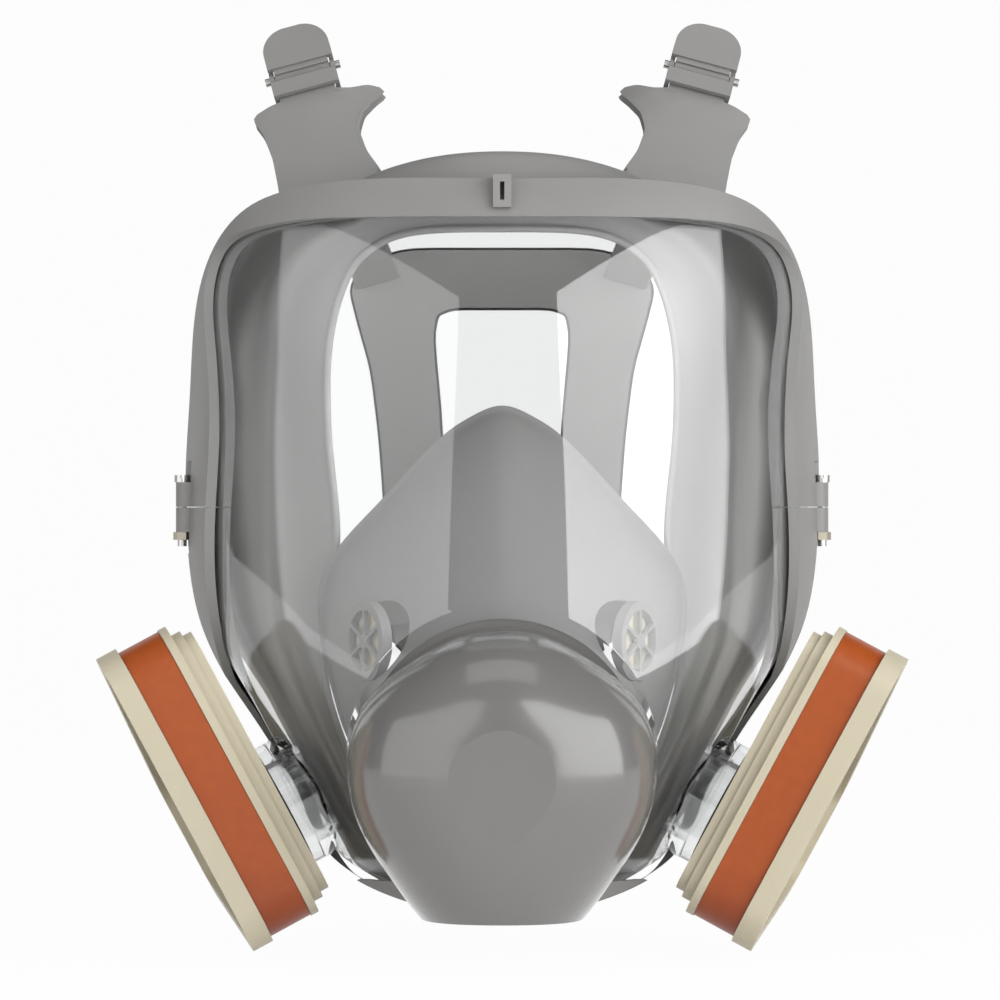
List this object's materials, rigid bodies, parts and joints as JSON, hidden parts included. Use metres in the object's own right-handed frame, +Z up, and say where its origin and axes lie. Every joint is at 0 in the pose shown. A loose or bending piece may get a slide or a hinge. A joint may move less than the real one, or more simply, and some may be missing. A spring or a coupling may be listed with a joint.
{
  "type": "full face respirator",
  "caption": "Wide-view full face respirator with clear visor, soft face seal, inner nose cup, exhalation cover, side filter cartridges and a buckled head harness",
  "frame": {"origin": "centre of the face opening, on the mid plane, level with the side joints of the frame", "axes": "+X to the wearer's left, +Y back towards the wearer, +Z up"},
  "size_m": [0.221, 0.204, 0.2591],
  "materials": {
    "clear_polycarbonate": "clear hard-coated polycarbonate, 2 mm",
    "clear_port": "clear moulded polycarbonate",
    "grey_frame": "fine satin moulded nylon",
    "grey_seal": "matt grey thermoplastic rubber",
    "grey_cup": "matt grey thermoplastic rubber",
    "grey_cover": "smooth satin moulded plastic",
    "dark_plastic": "dark grey moulded plastic",
    "gasket": "black silicone",
    "valve_rubber": "thin translucent silicone",
    "steel": "stainless steel",
    "brass": "plain brass",
    "cream": "cream moulded plastic",
    "label": "orange printed band, left plain",
    "carbon": "granular activated carbon",
    "mesh": "woven retaining screen",
    "crown_rubber": "matt grey rubber",
    "strap": "ribbed grey rubber strap",
    "buckle": "satin grey moulded plastic"
  },
  "bodies": {
    "facepiece": {"lens": "clear_polycarbonate", "upper_frame": "grey_frame", "lower_frame": "grey_frame", "frame_clip": "grey_frame", "face_seal": "grey_seal", "nose_cup": "grey_cup", "centre_adapter": "dark_plastic", "adapter_gasket": "gasket", "speech_diaphragm": "steel", "diaphragm_ring": "dark_plastic", "frame_screw_left": "steel", "frame_nut_left": "brass", "valve_seat_left": "grey_cover", "port_left": "clear_port", "port_gasket_left": "gasket", "upper_tab_left": "grey_seal", "lower_tab_left": "grey_seal", "upper_buckle_base_left": "buckle", "upper_buckle_pin_left": "steel", "lower_buckle_base_left": "buckle", "lower_buckle_pin_left": "steel", "frame_screw_right": "steel", "frame_nut_right": "brass", "valve_seat_right": "grey_cover", "port_right": "clear_port", "port_gasket_right": "gasket", "upper_tab_right": "grey_seal", "lower_tab_right": "grey_seal", "upper_buckle_base_right": "buckle", "upper_buckle_pin_right": "steel", "lower_buckle_base_right": "buckle", "lower_buckle_pin_right": "steel", "harness_crown": "crown_rubber", "upper_strap_left": "strap", "upper_strap_right": "strap", "lower_strap_left": "strap", "lower_strap_right": "strap"},
    "cover": {"front_cover": "grey_cover"},
    "exhalation": {"exhalation_valve": "valve_rubber"},
    "inhalation_left": {"inhalation_flap_left": "valve_rubber"},
    "filter_left": {"cartridge_cup_left": "cream", "cartridge_socket_left": "cream", "cartridge_label_left": "label", "cartridge_carbon_left": "carbon", "cartridge_screen_left": "mesh", "cartridge_grille_left": "cream"},
    "upper_lever_left": {"upper_buckle_lever_left": "buckle"},
    "lower_lever_left": {"lower_buckle_lever_left": "buckle"},
    "inhalation_right": {"inhalation_flap_right": "valve_rubber"},
    "filter_right": {"cartridge_cup_right": "cream", "cartridge_socket_right": "cream", "cartridge_label_right": "label", "cartridge_carbon_right": "carbon", "cartridge_screen_right": "mesh", "cartridge_grille_right": "cream"},
    "upper_lever_right": {"upper_buckle_lever_right": "buckle"},
    "lower_lever_right": {"lower_buckle_lever_right": "buckle"}
  },
  "joints": [
    {"name": "cover_pull", "type": "slide", "parent": "facepiece", "child": "cover", "axis": [0, -1, 0], "range_m": [0, 0.02]},
    {"name": "exhalation_lift", "type": "slide", "parent": "facepiece", "child": "exhalation", "axis": [0, -1, 0], "range_m": [0, 0.0018], "stiffness_N_per_m": 15},
    {"name": "inhalation_lift_left", "type": "slide", "parent": "facepiece", "child": "inhalation_left", "axis": [0.8601, 0.5101, 0], "range_m": [0, 0.0015], "stiffness_N_per_m": 10},
    {"name": "filter_twist_left", "type": "hinge", "parent": "facepiece", "child": "filter_left", "pos_m": [-0.055, -0.031, -0.082], "axis": [0.8734, 0.1205, 0.4718], "range_deg": [0, 40]},
    {"name": "upper_lever_left_lift", "type": "hinge", "parent": "facepiece", "child": "upper_lever_left", "pos_m": [-0.057, 0.005, 0.122], "axis": [0.9659, 0, 0.259], "range_deg": [0, 45]},
    {"name": "lower_lever_left_lift", "type": "hinge", "parent": "facepiece", "child": "lower_lever_left", "pos_m": [-0.081, 0.054, -0.025], "axis": [0, 0, 1], "range_deg": [0, 45]},
    {"name": "inhalation_lift_right", "type": "slide", "parent": "facepiece", "child": "inhalation_right", "axis": [-0.8601, 0.5101, 0], "range_m": [0, 0.0015], "stiffness_N_per_m": 10},
    {"name": "filter_twist_right", "type": "hinge", "parent": "facepiece", "child": "filter_right", "pos_m": [0.055, -0.031, -0.082], "axis": [0.8734, -0.1205, -0.4718], "range_deg": [0, 40]},
    {"name": "upper_lever_right_lift", "type": "hinge", "parent": "facepiece", "child": "upper_lever_right", "pos_m": [0.057, 0.005, 0.122], "axis": [0.9659, 0, -0.259], "range_deg": [0, 45]},
    {"name": "lower_lever_right_lift", "type": "hinge", "parent": "facepiece", "child": "lower_lever_right", "pos_m": [0.081, 0.054, -0.025], "axis": [0, 0, -1], "range_deg": [0, 45]}
  ]
}
